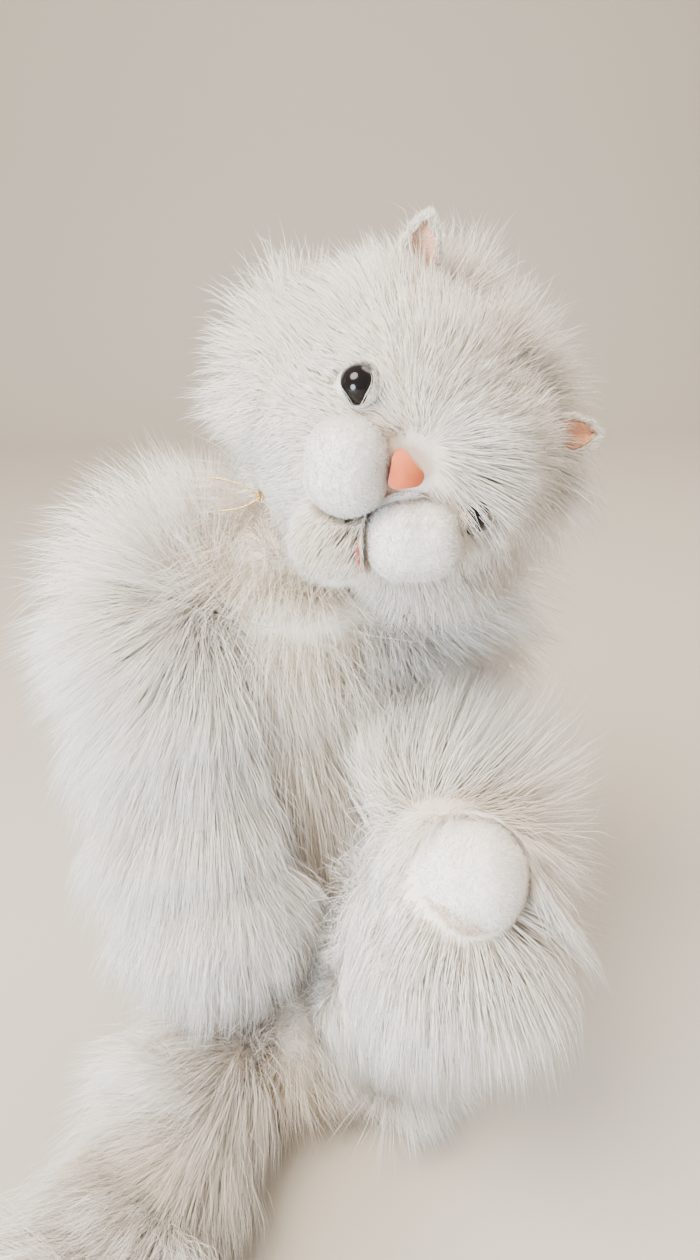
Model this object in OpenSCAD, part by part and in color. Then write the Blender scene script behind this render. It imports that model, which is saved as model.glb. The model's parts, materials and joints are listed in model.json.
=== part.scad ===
// Sitting long-haired plush cat with disc-jointed arms and legs, a jointed neck and a sewn tail.
// Millimetres, +Z up, the cat faces -Y. Origin: middle of the seat, on the surface it sits on.

/* [Body] */
// Radius of the stuffed belly
belly_r = 38; // [37.5:0.1:38.2]
// Height of the belly's centre above the seat
belly_z = 31; // [28:0.5:33]
// Radius of the stuffed chest
chest_r = 36; // [35.8:0.1:36.2]
// Height of the chest's centre
chest_z = 227; // [223:1:229]
// Distance of the chest's centre behind the seat's middle
chest_y = 1; // [0.5:0.5:4]
// Sideways lean of the chest top
chest_x = 7; // [4:0.5:8]
// Thickness of the fur fabric backing
pelt_t = 1.6; // [1.2:0.1:2]

/* [Head] */
// Radius of the stuffed head
head_r = 46; // [44:0.5:47]
// Extra width of each cheek
cheek_w = 5; // [3:0.5:6]
// Sideways roll of the head on the neck, in degrees
head_roll = 50; // [40:1:52]
// Upward nod of the face, in degrees
head_nod = 13; // [5:1:15]
// Diameter of a safety eye
eye_d = 12; // [10:0.5:13]
// Radius of one muzzle pad
muzzle_r = 13.4; // [12:0.1:13.6]

/* [Arms] */
// Length from shoulder to paw centre
arm_len = 113; // [95:1:115]
// Radius of the upper arm
shoulder_r = 22; // [21:0.5:22]
// Radius of the paw
paw_r = 18.5; // [18:0.5:18.5]
// Forward swing of the right arm, in degrees
right_arm_swing = 24; // [5:1:35]
// Forward swing of the left arm, in degrees
left_arm_swing = 4; // [0:1:10]
// Turn of the shoulders about the body, in degrees
shoulder_yaw = 15; // [10:1:18]

/* [Legs] */
// Length from hip to heel centre
leg_len = 145; // [143:1:148]
// Radius of the thigh
thigh_r = 20; // [19.5:0.1:20]
// Radius of the heel
heel_r = 26; // [24:0.5:26.5]
// Radius of the toes
toe_r = 21; // [18:0.5:23]
// Distance from heel centre to toe centre
toe_rise = 24; // [20:1:30]
// Radius of the puffy sole pad
sole_r = 20; // [18:0.5:20]
// Lift of the left leg above the seat, in degrees
left_leg_lift = 69; // [50:1:70]
// Outward splay of the right leg, in degrees
right_leg_splay = 20; // [15:1:22]
// Outward splay of the left leg, in degrees
left_leg_splay = 12; // [8:1:15]

/* [Tail] */
// Radius of the tail
tail_r = 13; // [10:0.5:14]
// Radius of the tail's curl
tail_curl_r = 85; // [75:1:90]

/* [Hidden] */
$fn = 64;
// Clearance between parts of one body, and between the two sides of a joint
gap = 0.2;
joint_gap = 0.4;
// Discs, washers and cotter pins of the arm and hip joints
disc_r = 9.2;
disc_t = 2.5;
hip_disc_t = 1.6;
washer_r = 5;
washer_t = 0.8;
pin_r = 1.25;
bore_r = 1.3;
pin_head = 9.4;
pin_tail = 7.6;
hip_pin_tail = 5.9;
pin_ring_r = 2.6;
bar_r = 1.1;
hip_bar_r = 0.9;
bar_len = 12;
// Room in the stuffing round a joint's hardware
disc_play = 0.6;
pin_room_r = 7.4;
pin_room = 9.5;
limb_room = 12;
// Flat sides of the chest, where the arms turn, and of the crotch lobe between the legs
side_half = 34;
side_low = 97;
shoulder_z = 224;
lobe_half = 12.8;
lobe_r = 28;
hip_y = -50.5;
hip_z = 27;
// Distance from a limb's flat side to its middle
limb_flat = 19.5;
thigh_flat = 17;
// Arms narrow by this much down to the wrist
arm_thin = 4;
wrist = 60;
toe_turn = 15;
sole_turn = 20;
sole_out = 12;
// Stitches
stitch_r = 0.6;
stitch_len = 5;
stitch_out = 0.75;
// Eyes, nose and their lock washers
eye_turn = 27.5;
nose_drop = 12;
stem_r = 1.5;
stem_end = 8;
stem_hole_r = 1.6;
lock_bore_r = 1.55;
lock_y = 1.4;
lock_room_r = 5.4;
// Muzzle pads and chin, in the head frame
muzzle_split = 0.15;
muzzle_y = -45;
muzzle_z = -19;
chin_r = 10.5;
chin_at = [0, -37, -33];
// Ears: how far they lean out, then width, height and thickness of the flap and of its lining
ear_lean = 37;
ear_front = 2;
ear_w = 26;
ear_h = 24;
ear_t = 4;
lining_w = 17;
lining_h = 20;
lining_t = 1.4;
lining_y = -1.5;
// Gold thread: radius of its loop, height above the neck pivot, thickness, size of its knot
cord_r = 21;
cord_out = 8;
thread_r = 0.5;
knot_r = 1.3;
// Neck: two linked eye pins, each through a disc
head_yaw = 2.5;
neck_lean = 24;
neck_out = 43;
neck_disc_r = 12;
link_r = 3.5;
link_wire_r = 0.9;
link_drop = 1.3;
shank_drop = 4.8;
neck_pin_tail = 6.5;
head_link_z = 2.1;
head_shank_z = 5.6;
head_shank = 12.4;
head_bar_z = 18;
head_disc_z = 12.6;
head_washer_z = 15.4;
neck_room_r = 12.8;
neck_room = 22;
chest_room_r = 12.6;
chest_room = 14;
neck_hole = [0, 29, -44];
// Height of the neck disc's top face above the chest's centre, where its rim just meets the round pelt
neck_seat = sqrt(pow(chest_r - pelt_t - gap, 2) - pow(neck_disc_r, 2));
bag_r = 27;
bag_z = 20;
tail_z = tail_r + 1;
// The tail's root just clears the round belly
tail_y = sqrt(pow(belly_r + tail_r + 0.5, 2) - pow(belly_z - tail_z, 2));
rise = chest_z - belly_z;
spine = norm([chest_x, chest_y, rise]);
lean_side = asin(chest_x / spine);
lean_back = atan2(chest_y, rise);

// ---- general shapes -------------------------------------------------------

// Two spheres joined by the cone that touches both, along +Z from the first centre
module tapered(r1, r2, d) {
    a = asin((r1 - r2) / d);
    rotate_extrude() intersection() {
        union() {
            circle(r1);
            translate([0, d]) circle(r2);
            polygon([[0, 0], [r1 * cos(a), r1 * sin(a)], [r2 * cos(a), d + r2 * sin(a)], [0, d]]);
        }
        translate([0, -r1 - r2]) square([r1 + r2, d + 2 * (r1 + r2)]);
    }
}

module rod_x(r, x0, x1) {
    translate([x0, 0, 0]) rotate([0, 90, 0]) cylinder(h = x1 - x0, r = r);
}

module ring(major, minor) {
    rotate_extrude() translate([major, 0]) circle(minor);
}

module disc_x(r, x0, t) {
    difference() {
        rod_x(r, x0, x0 + t);
        rod_x(bore_r, x0 - 1, x0 + t + 1);
    }
}

// ---- places ---------------------------------------------------------------

// Shoulder frame: turned a little about the body's middle line
module at_shoulders() {
    translate([chest_x, chest_y, shoulder_z]) rotate([0, 0, shoulder_yaw]) children();
}

// side is 1 for the cat's left, which is +X, and -1 for its right
module at_shoulder_joint(side) {
    at_shoulders() mirror([side < 0 ? 1 : 0, 0, 0]) translate([side_half + joint_gap / 2, 0, 0]) children();
}

module at_hip_joint(side) {
    mirror([side < 0 ? 1 : 0, 0, 0]) translate([lobe_half + joint_gap / 2, hip_y, hip_z]) children();
}

// Chest frame: centre of the chest, +Z up the neck
module at_chest() {
    translate([chest_x, chest_y, chest_z]) rotate([neck_lean, 0, 0]) children();
}

// Head frame: centre of the head, face towards -Y, crown towards +Z
module at_head() {
    translate([chest_x, chest_y - neck_out * sin(neck_lean), chest_z + neck_out * cos(neck_lean)])
        rotate([-head_nod, head_roll, -head_yaw]) translate(-neck_hole) children();
}

// Neck direction in the head frame, from the neck hole to the head's centre
module at_head_neck() {
    at_head() translate(neck_hole) rotate([-atan2(-neck_hole[1], -neck_hole[2]), 0, 0]) children();
}

module at_cheek(side) {
    at_head() translate([side * cheek_w, 0, 0]) children();
}

// ---- stuffed forms --------------------------------------------------------

module at_spine() {
    translate([0, 0, belly_z]) rotate([-lean_back, 0, 0]) rotate([0, lean_side, 0]) children();
}

module torso_form(inset) {
    difference() {
        union() {
            at_spine() tapered(belly_r - inset, chest_r - inset, spine);
            translate([0, hip_y, hip_z]) rod_x(lobe_r - inset, inset - lobe_half, lobe_half - inset);
        }
        translate([-150, -150, inset - 100]) cube([300, 300, 100]);
        for (side = [-1, 1]) at_shoulders() mirror([side < 0 ? 1 : 0, 0, 0])
            translate([side_half - inset, -100, side_low - shoulder_z]) cube([100, 200, 200]);
    }
}

module head_form(inset) {
    r = head_r - inset;
    rotate([0, 90, 0]) rotate_extrude() intersection() {
        union() {
            translate([0, cheek_w]) circle(r);
            translate([0, -cheek_w]) circle(r);
            translate([0, -cheek_w]) square([r, 2 * cheek_w]);
        }
        translate([0, -2 * head_r]) square([2 * head_r, 4 * head_r]);
    }
}

// Arm hanging along -Z from the shoulder centre, flat on the torso's side (-X)
module arm_form(inset) {
    intersection() {
        translate([limb_flat, 0, 0]) rotate([180, 0, 0]) union() {
            tapered(shoulder_r - inset, shoulder_r - inset - arm_thin, wrist);
            translate([0, 0, wrist]) tapered(shoulder_r - inset - arm_thin, paw_r - inset, arm_len - wrist);
        }
        translate([inset, -150, -200]) cube([100, 300, 400]);
    }
}

// Leg pointing along -Y from the hip centre, toes up, flat on the torso's side (-X)
module leg_form(inset, splay) {
    intersection() {
        translate([thigh_flat, 0, 0]) rotate([0, 0, splay]) union() {
            rotate([90, 0, 0]) tapered(thigh_r - inset, heel_r - inset, leg_len);
            translate([0, -leg_len, 0]) rotate([-toe_turn, 0, 0])
                tapered(heel_r - inset, toe_r - inset, toe_rise);
        }
        translate([inset, -300, -200]) cube([300, 600, 400]);
    }
}

module tail_form(inset) {
    r = tail_r - inset;
    translate([0, tail_y, tail_z]) union() {
        sphere(r);
        translate([tail_curl_r, 0, 0]) rotate([0, 0, 90])
            rotate_extrude(angle = 90) translate([tail_curl_r, 0]) circle(r);
        translate([tail_curl_r, tail_curl_r, 0]) sphere(r);
    }
}

// ---- joint hardware -------------------------------------------------------

// Torso's side of a disc joint is at negative x, the limb's side at positive x
module body_disc() {
    disc_x(disc_r, -joint_gap / 2 - pelt_t - gap - disc_t, disc_t);
}

module body_washer() {
    disc_x(washer_r, -joint_gap / 2 - pelt_t - disc_t - 2 * gap - washer_t, washer_t);
}

module limb_disc() {
    disc_x(disc_r, joint_gap / 2 + pelt_t + gap, disc_t);
}

module limb_washer() {
    disc_x(washer_r, joint_gap / 2 + pelt_t + disc_t + 2 * gap, washer_t);
}

// Split pin through a joint: its eye lies in the limb, its ends are bent over inside the torso
module cotter(tail, bent_r) {
    union() {
        rod_x(pin_r, -tail, pin_head - pin_ring_r);
        translate([-tail, 0, -bar_len / 2]) cylinder(h = bar_len, r = bent_r);
        translate([pin_head, 0, 0]) rotate([90, 0, 0]) ring(pin_ring_r, bar_r);
    }
}

module body_pocket() {
    x = joint_gap / 2 + pelt_t;
    rod_x(disc_r + disc_play, -x - disc_t - gap - 0.1, 0);
    rod_x(pin_room_r, -x - pin_room, 0);
}

module limb_pocket() {
    x = joint_gap / 2 + pelt_t;
    rod_x(disc_r + gap, 0, x + disc_t + gap + 0.1);
    rod_x(washer_r + 0.5, 0, x + limb_room);
}

module pin_hole() {
    rod_x(bore_r, -12, 12);
}

// ---- torso ----------------------------------------------------------------

module torso_pelt() color("white") difference() {
    torso_form(0);
    torso_form(pelt_t);
    for (side = [-1, 1]) {
        at_shoulder_joint(side) pin_hole();
        at_hip_joint(side) pin_hole();
    }
    at_chest() translate([0, 0, 20]) cylinder(h = 30, r = bore_r);
}

module torso_filling() color("ivory") difference() {
    torso_form(pelt_t + gap);
    for (side = [-1, 1]) {
        at_shoulder_joint(side) body_pocket();
        at_hip_joint(side) body_pocket();
    }
    at_chest() translate([0, 0, chest_r - chest_room]) cylinder(h = 30, r = chest_room_r);
    translate([0, 0, bag_z]) sphere(bag_r + gap);
}

module pellet_bag() color("lightgray") intersection() {
    translate([0, 0, bag_z]) sphere(bag_r);
    translate([-50, -50, pelt_t + gap]) cube(100);
}

// Closing stitches down the middle of the back
module back_seam() color("ivory") {
    slope = (belly_r - chest_r) / spine;
    for (z = [50 : 8 : 138])
        at_spine() translate([-stitch_len / 2, belly_r - slope * z + stitch_out, z])
            rotate([0, 90, 0]) cylinder(h = stitch_len, r = stitch_r);
}

module torso_shoulder_discs() color("tan") for (side = [-1, 1]) at_shoulder_joint(side) body_disc();

module torso_hip_discs() color("tan") for (side = [-1, 1]) at_hip_joint(side) hip_disc();

// The two hip discs share the narrow crotch lobe, so they are thinner
module hip_disc() {
    disc_x(disc_r, -joint_gap / 2 - pelt_t - gap - hip_disc_t, hip_disc_t);
}

module torso_washers() color("silver") {
    for (side = [-1, 1]) {
        at_shoulder_joint(side) body_washer();
        at_hip_joint(side)
            disc_x(washer_r, -joint_gap / 2 - pelt_t - hip_disc_t - 2 * gap - washer_t, washer_t);
    }
}

module torso_neck_disc() color("tan") at_chest() difference() {
    translate([0, 0, neck_seat - disc_t]) cylinder(h = disc_t, r = neck_disc_r);
    cylinder(h = 60, r = bore_r);
}

// ---- neck link ------------------------------------------------------------

module neck_washer() color("silver") at_chest() difference() {
    translate([0, 0, neck_seat - disc_t - gap - washer_t]) cylinder(h = washer_t, r = washer_r);
    cylinder(h = 60, r = bore_r);
}

module neck_eye_pin() color("silver") at_chest() union() {
    translate([0, 0, neck_seat - neck_pin_tail])
        cylinder(h = neck_out - shank_drop - neck_seat + neck_pin_tail, r = pin_r);
    translate([-bar_len / 2, 0, neck_seat - neck_pin_tail]) rotate([0, 90, 0])
        cylinder(h = bar_len, r = bar_r);
    translate([0, 0, neck_out - link_drop]) rotate([90, 0, 0]) ring(link_r, link_wire_r);
}

module head_eye_pin() color("silver") at_head_neck() union() {
    translate([0, 0, head_link_z]) rotate([0, 90, 20]) ring(link_r, link_wire_r);
    translate([0, 0, head_shank_z]) cylinder(h = head_shank, r = pin_r);
    translate([0, 0, head_bar_z]) rotate([0, 90, 0]) translate([0, 0, -bar_len / 2])
        cylinder(h = bar_len, r = bar_r);
}

module head_neck_disc() color("tan") at_head_neck() difference() {
    translate([0, 0, head_disc_z]) cylinder(h = disc_t, r = neck_disc_r);
    cylinder(h = 40, r = bore_r);
}

module head_neck_washer() color("silver") at_head_neck() difference() {
    translate([0, 0, head_washer_z]) cylinder(h = washer_t, r = washer_r);
    cylinder(h = 40, r = bore_r);
}

// ---- head -----------------------------------------------------------------

// Eye frame: on the head's surface, looking outwards along -Y
module at_eye(side) {
    at_cheek(side) rotate([0, 0, side * eye_turn]) translate([0, -head_r, 0]) children();
}

module at_nose() {
    at_head() rotate([nose_drop, 0, 0]) translate([0, -head_r, 0]) children();
}

module eye_shape() {
    union() {
        intersection() {
            translate([0, 0.3, 0]) sphere(eye_d / 2);
            translate([-10, -10 - gap, -10]) cube([20, 10, 20]);
        }
        translate([0, stem_end, 0]) rotate([90, 0, 0]) cylinder(h = stem_end + 0.5, r = stem_r);
    }
}

module lock_washer() {
    difference() {
        translate([0, pelt_t + lock_y, 0]) rotate([90, 0, 0]) cylinder(h = washer_t, r = washer_r);
        translate([0, 20, 0]) rotate([90, 0, 0]) cylinder(h = 40, r = lock_bore_r);
    }
}

module face_stem_hole() {
    translate([0, 20, 0]) rotate([90, 0, 0]) cylinder(h = 30, r = stem_hole_r);
}

module face_stem_pocket() {
    translate([0, 12, 0]) rotate([90, 0, 0]) cylinder(h = 22, r = lock_room_r);
}

module head_pelt() color("white") difference() {
    at_head() head_form(0);
    at_head() head_form(pelt_t);
    at_head_neck() cylinder(h = 30, r = bore_r);
    for (side = [-1, 1]) at_eye(side) face_stem_hole();
    at_nose() face_stem_hole();
}

module head_filling() color("ivory") difference() {
    at_head() head_form(pelt_t + gap);
    at_head_neck() cylinder(h = neck_room, r = neck_room_r);
    for (side = [-1, 1]) at_eye(side) face_stem_pocket();
    at_nose() face_stem_pocket();
}

// Rounded triangular flap that stands on the head, its front towards -Y
module ear_outline(w, h) {
    union() {
        translate([0, h - w * 0.3]) circle(w * 0.3);
        polygon([
            [-w / 2, -8], [w / 2, -8], [w / 2, 3],
            [w * 0.28, h - w * 0.19], [-w * 0.28, h - w * 0.19], [-w / 2, 3]
        ]);
    }
}

module at_ear(side) {
    at_cheek(side) rotate([0, side * ear_lean, 0]) translate([0, -ear_front, head_r]) children();
}

module ear(side, w, h, front, t) {
    difference() {
        at_ear(side) translate([0, front + t, 0]) rotate([90, 0, 0]) linear_extrude(t) ear_outline(w, h);
        at_head() head_form(-gap);
    }
}

module ear_back(side) color("white") ear(side, ear_w, ear_h, 0, ear_t);

module ear_lining(side) color("peachpuff") ear(side, lining_w, lining_h, lining_y, lining_t);

module right_ear_back() ear_back(-1);

module left_ear_back() ear_back(1);

module right_ear_lining() ear_lining(-1);

module left_ear_lining() ear_lining(1);

module right_eye() color("black") at_eye(-1) eye_shape();

module left_eye() color("black") at_eye(1) eye_shape();

module eye_lock_washers() color("gainsboro") for (side = [-1, 1]) at_eye(side) lock_washer();

module nose_lock_washer() color("gainsboro") at_nose() lock_washer();

// Rounded triangle, point down
module nose_outline() {
    union() {
        for (x = [-3.4, 3.4]) translate([x, 1.6]) circle(2.6);
        translate([0, -3.2]) circle(2.2);
        polygon([[-3.4, 4.2], [3.4, 4.2], [5.65, 0.3], [1.9, -4.3], [-1.9, -4.3], [-5.65, 0.3]]);
    }
}

module nose() color("lightsalmon") difference() {
    at_nose() union() {
        intersection() {
            translate([0, 3.5, 0]) sphere(10.5);
            translate([0, -gap, 3]) rotate([90, 0, 0]) linear_extrude(12) nose_outline();
        }
        translate([0, stem_end, 0]) rotate([90, 0, 0]) cylinder(h = stem_end + 1, r = stem_r);
    }
    for (side = [-1, 1]) muzzle_ball(side, gap);
}

module muzzle_place(side) {
    translate([side * (muzzle_r + muzzle_split), muzzle_y, muzzle_z]) children();
}

module muzzle_ball(side, extra) {
    at_head() muzzle_place(side) sphere(muzzle_r + extra);
}

module muzzle_pad(side) {
    difference() {
        muzzle_ball(side, 0);
        at_head() head_form(-gap);
    }
}

module right_muzzle_pad() color("seashell") muzzle_pad(-1);

module left_muzzle_pad() color("seashell") muzzle_pad(1);

module chin_pad() color("ivory") difference() {
    at_head() translate(chin_at) sphere(chin_r);
    at_head() head_form(-gap);
    for (side = [-1, 1]) muzzle_ball(side, gap);
}

// Thread of the mouth: one short curve under each muzzle pad
module mouth_stitch() color("indianred") at_head() difference() {
    for (side = [-1, 1]) muzzle_place(side)
        rotate([40, 0, 0]) rotate([90, 0, 0]) rotate([0, 0, side > 0 ? 205 : 275])
            rotate_extrude(angle = 60) translate([muzzle_r + 1, 0]) circle(stitch_r);
    translate(chin_at) sphere(chin_r + gap);
}

// Metallic thread tied round the neck just under the head, with two short ends
module neck_cord() color("gold") at_head_neck() translate([0, 0, cord_out]) union() {
    ring(cord_r, thread_r);
    rotate([0, 0, 205]) translate([cord_r, 0, 0]) {
        sphere(knot_r);
        rotate([0, 95, 7]) cylinder(h = 17, r = thread_r);
        rotate([0, 104, 43]) cylinder(h = 14, r = thread_r);
    }
}

// ---- arms -----------------------------------------------------------------

module arm_place(side, swing) {
    at_shoulder_joint(side) rotate([-swing, 0, 0]) children();
}

module arm_pelt(side, swing) {
    arm_place(side, swing) difference() {
        translate([joint_gap / 2, 0, 0]) arm_form(0);
        translate([joint_gap / 2, 0, 0]) arm_form(pelt_t);
        pin_hole();
    }
}

module arm_filling(side, swing) {
    arm_place(side, swing) difference() {
        translate([joint_gap / 2, 0, 0]) arm_form(pelt_t + gap);
        limb_pocket();
    }
}

module right_arm_pelt() color("white") arm_pelt(-1, right_arm_swing);

module left_arm_pelt() color("white") arm_pelt(1, left_arm_swing);

module right_arm_filling() color("ivory") arm_filling(-1, right_arm_swing);

module left_arm_filling() color("ivory") arm_filling(1, left_arm_swing);

module right_arm_disc() color("tan") arm_place(-1, right_arm_swing) limb_disc();

module left_arm_disc() color("tan") arm_place(1, left_arm_swing) limb_disc();

module right_arm_washer() color("silver") arm_place(-1, right_arm_swing) limb_washer();

module left_arm_washer() color("silver") arm_place(1, left_arm_swing) limb_washer();

module right_arm_cotter() color("silver") arm_place(-1, right_arm_swing) cotter(pin_tail, bar_r);

module left_arm_cotter() color("silver") arm_place(1, left_arm_swing) cotter(pin_tail, bar_r);

// ---- legs -----------------------------------------------------------------

module leg_place(side, lift) {
    at_hip_joint(side) rotate([-lift, 0, 0]) children();
}

module leg_pelt(side, lift, splay) {
    leg_place(side, lift) difference() {
        translate([joint_gap / 2, 0, 0]) leg_form(0, splay);
        translate([joint_gap / 2, 0, 0]) leg_form(pelt_t, splay);
        pin_hole();
    }
}

module leg_filling(side, lift, splay) {
    leg_place(side, lift) difference() {
        translate([joint_gap / 2, 0, 0]) leg_form(pelt_t + gap, splay);
        limb_pocket();
    }
}

// Puffy cap on the heel, turned a little under the foot
module sole_pad(side, lift, splay) {
    leg_place(side, lift) translate([thigh_flat + joint_gap / 2, 0, 0]) rotate([0, 0, splay])
        translate([0, -leg_len, 0]) rotate([90 + sole_turn, 0, 0]) rotate_extrude() intersection() {
            difference() {
                translate([0, sole_out]) circle(sole_r);
                circle(heel_r + gap);
            }
            square([sole_r + 1, 50]);
        }
}

module right_leg_pelt() color("white") leg_pelt(-1, 0, right_leg_splay);

module left_leg_pelt() color("white") leg_pelt(1, left_leg_lift, left_leg_splay);

module right_leg_filling() color("ivory") leg_filling(-1, 0, right_leg_splay);

module left_leg_filling() color("ivory") leg_filling(1, left_leg_lift, left_leg_splay);

module right_leg_disc() color("tan") leg_place(-1, 0) limb_disc();

module left_leg_disc() color("tan") leg_place(1, left_leg_lift) limb_disc();

module right_leg_washer() color("silver") leg_place(-1, 0) limb_washer();

module left_leg_washer() color("silver") leg_place(1, left_leg_lift) limb_washer();

module right_leg_cotter() color("silver") leg_place(-1, 0) cotter(hip_pin_tail, hip_bar_r);

module left_leg_cotter() color("silver") leg_place(1, left_leg_lift) cotter(hip_pin_tail, hip_bar_r);

module right_sole_pad() color("seashell") sole_pad(-1, 0, right_leg_splay);

module left_sole_pad() color("seashell") sole_pad(1, left_leg_lift, left_leg_splay);

// ---- tail -----------------------------------------------------------------

module tail_pelt() color("white") difference() {
    tail_form(0);
    tail_form(pelt_t);
}

module tail_filling() color("ivory") tail_form(pelt_t + gap);

torso_pelt();
torso_filling();
pellet_bag();
back_seam();
torso_shoulder_discs();
torso_hip_discs();
torso_washers();
torso_neck_disc();
neck_eye_pin();
neck_washer();
head_pelt();
head_filling();
head_neck_disc();
head_neck_washer();
head_eye_pin();
right_ear_back();
right_ear_lining();
left_ear_back();
left_ear_lining();
right_eye();
left_eye();
eye_lock_washers();
nose();
nose_lock_washer();
right_muzzle_pad();
left_muzzle_pad();
chin_pad();
mouth_stitch();
neck_cord();
right_arm_pelt();
right_arm_filling();
right_arm_disc();
right_arm_washer();
right_arm_cotter();
left_arm_pelt();
left_arm_filling();
left_arm_disc();
left_arm_washer();
left_arm_cotter();
right_leg_pelt();
right_leg_filling();
right_leg_disc();
right_leg_washer();
right_leg_cotter();
right_sole_pad();
left_leg_pelt();
left_leg_filling();
left_leg_disc();
left_leg_washer();
left_leg_cotter();
left_sole_pad();
tail_pelt();
tail_filling();
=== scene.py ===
import json
import math

import bmesh
import bpy
import numpy as np
from mathutils import Matrix, Vector
from mathutils.kdtree import KDTree


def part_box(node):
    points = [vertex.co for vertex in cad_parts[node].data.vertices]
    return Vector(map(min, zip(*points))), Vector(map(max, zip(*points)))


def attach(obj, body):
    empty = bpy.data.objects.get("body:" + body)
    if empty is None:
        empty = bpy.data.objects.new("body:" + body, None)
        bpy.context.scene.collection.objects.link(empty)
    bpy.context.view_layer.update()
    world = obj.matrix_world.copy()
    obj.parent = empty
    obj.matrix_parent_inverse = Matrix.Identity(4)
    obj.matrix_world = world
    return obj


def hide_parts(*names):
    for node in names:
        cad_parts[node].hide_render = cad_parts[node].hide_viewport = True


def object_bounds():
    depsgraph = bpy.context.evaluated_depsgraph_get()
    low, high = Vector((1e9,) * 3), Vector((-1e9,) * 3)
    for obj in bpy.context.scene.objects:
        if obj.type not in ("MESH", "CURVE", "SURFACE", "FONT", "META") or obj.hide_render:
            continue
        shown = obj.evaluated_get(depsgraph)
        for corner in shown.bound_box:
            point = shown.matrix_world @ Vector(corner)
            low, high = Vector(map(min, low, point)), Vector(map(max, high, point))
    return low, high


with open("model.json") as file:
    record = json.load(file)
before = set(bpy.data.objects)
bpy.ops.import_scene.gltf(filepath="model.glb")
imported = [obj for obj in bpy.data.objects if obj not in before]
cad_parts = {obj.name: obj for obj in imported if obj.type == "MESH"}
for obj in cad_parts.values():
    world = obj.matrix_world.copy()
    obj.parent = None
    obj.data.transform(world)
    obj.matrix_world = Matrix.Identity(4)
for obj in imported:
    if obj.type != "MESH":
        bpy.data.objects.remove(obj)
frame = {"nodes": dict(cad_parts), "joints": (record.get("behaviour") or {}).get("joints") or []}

cad_lo, cad_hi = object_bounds()

# ---------------- settings
MM = 0.001
SEED = 730
FUR_SHARE = 1.0        # share of the hairs that a quick try grows
FUR_MARGIN = np.array([14, 17, 17]) * MM  # how far hair may stand out of the CAD box
MOST_HAIRS = 12000                        # hairs in one piece, to keep it under 200,000 triangles
HAIR_STEPS = 3                            # pieces along each hair
HAIR_R = 0.145 * MM  # a hair's radius at its root
HAIR_TIP = 0.03 * MM
FLOOR_GAP = 0.6 * MM                      # lowest that a point of a hair may lie
SHORT_SHARE = 0.25                        # share of short hairs among the long ones
LOCK_SHARE = 0.04                         # share of guide hairs, which the others gather round
PUFF_FRAMES = 14                          # length of each cloth simulation

JOINTS = {j["name"]: j for j in frame["joints"]}


def unit(v):
    v = np.asarray(v, float)
    return v / np.maximum(np.linalg.norm(v, axis=-1, keepdims=True), 1e-12)


def turn(axis, degrees):
    return np.array(Matrix.Rotation(math.radians(degrees), 3, Vector(axis)))


# ---------------- places, from the frame
X, Y, Z = np.eye(3)


def box_centre(node):
    lo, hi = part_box(node)
    return np.array((lo + hi) / 2)


# lengths of the stuffed forms, which fill the CAD pelts, in mm from middle to middle of their ends
NECK_TO_CHEST = 43
DISC_TO_SHOULDER, SHOULDER_TO_WRIST, SHOULDER_TO_PAW = 19.7, 60, 113
DISC_TO_HIP, HIP_TO_HEEL, HEEL_TO_TOE = 17.2, 145, 24
CHEEK = 5
# and their radii
BELLY_R, CHEST_R, HEAD_R = 38 * MM, 36 * MM, 46 * MM
SHOULDER_R, WRIST_R, PAW_R = 22 * MM, 18 * MM, 18.5 * MM
HIP_R, HEEL_R, TOE_R = 20 * MM, 26 * MM, 21 * MM
TAIL_R, TAIL_CURL = 13 * MM, 85 * MM
PAD_R, CHIN_R, SOLE_R = 13.4 * MM, 10.5 * MM, 20 * MM
EYE_R, NOSE_R, TIE_CLEAR = 6.5 * MM, 7 * MM, 1.5 * MM

BELLY = np.array([0, 0, 31 * MM])
NECK = np.array(JOINTS["neck_turn"]["pos_m"])
NECK_AXIS = unit(JOINTS["neck_turn"]["axis"])
CHEST = NECK - NECK_TO_CHEST * MM * NECK_AXIS
TAIL_ROOT = np.array(JOINTS["tail_swing"]["pos_m"])

HEAD = box_centre("head_pelt")
HEAD_TURN = turn(Z, -2.5) @ turn(Y, 50) @ turn(X, -13)
HEAD_X, HEAD_Y, HEAD_Z = HEAD_TURN.T


def head_point(x, y, z):
    """A point of the head frame, in mm: x to the cat's left, y to the back, z to the crown."""
    return HEAD + HEAD_TURN @ (np.array([x, y, z]) * MM)


def arm_places(name, swing):
    """Shoulder centre, wrist, paw centre of an arm."""
    joint = JOINTS[name + "_arm_swing"]
    axis = -unit(joint["axis"])
    side = -1 if name == "right" else 1
    shoulder = np.array(joint["pos_m"]) + side * axis * DISC_TO_SHOULDER * MM
    along = turn(-axis, swing) @ -Z
    return shoulder, shoulder + along * SHOULDER_TO_WRIST * MM, shoulder + along * SHOULDER_TO_PAW * MM


def leg_places(name, lift, splay):
    """Hip centre, heel centre, toe centre, sole direction of a leg."""
    joint = JOINTS[name + "_leg_lift"]
    side = -1 if name == "right" else 1
    hip = np.array(joint["pos_m"]) + side * X * DISC_TO_HIP * MM
    up = turn(-X, lift)
    across = turn(Z, side * splay)
    along = up @ across @ -Y
    heel = hip + along * HIP_TO_HEEL * MM
    toe = heel + up @ across @ turn(X, -15) @ Z * HEEL_TO_TOE * MM
    sole = up @ across @ turn(X, 20) @ -Y
    return hip, heel, toe, sole


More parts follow.
